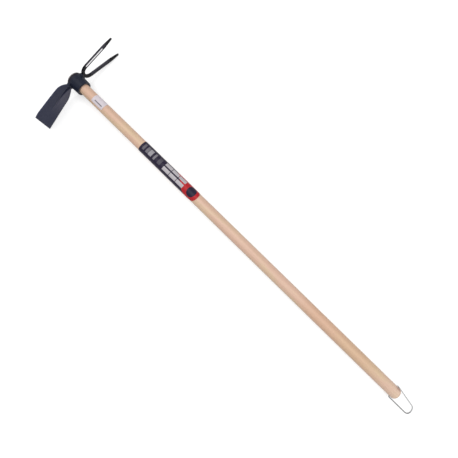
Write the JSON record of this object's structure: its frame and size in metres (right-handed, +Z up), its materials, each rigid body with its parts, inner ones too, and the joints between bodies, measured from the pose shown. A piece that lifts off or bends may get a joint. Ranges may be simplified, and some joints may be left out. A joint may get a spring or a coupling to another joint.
{
  "type": "hoe fork",
  "caption": "Long handled hoe fork: hoe blade and pointed fork on one steel eye, turned wooden handle with a swinging wire hang loop.",
  "frame": {"origin": "middle of the footprint of the tool as it lies on the ground, on the ground", "axes": "+X along the handle from the head to the grip, +Y to the fork's side with the blade at -Y, +Z up from the ground"},
  "size_m": [1.1644, 0.2582, 0.0698],
  "materials": {
    "pale_wood": "sanded pale wood, thin clear coat",
    "bare_steel": "bare driven wedge",
    "black_paint": "black satin paint on steel",
    "zinc_wire": "zinc plated wire",
    "label_film": "printed wrap-around film",
    "sticker_paper": "plain white paper"
  },
  "bodies": {
    "tool": {"handle": "pale_wood", "wedge": "bare_steel", "eye": "black_paint", "hoe_blade": "black_paint", "fork": "black_paint", "blade_weld": "black_paint", "fork_weld": "black_paint", "label": "label_film", "sticker": "sticker_paper"},
    "loop": {"hang_loop": "zinc_wire"}
  },
  "joints": [
    {"name": "hang_loop_swing", "type": "hinge", "parent": "tool", "child": "loop", "pos_m": [0.50578, 0.00003, 0.01521], "axis": [-0.0001, 1, -0.0075], "range_deg": [-159, 140]}
  ]
}
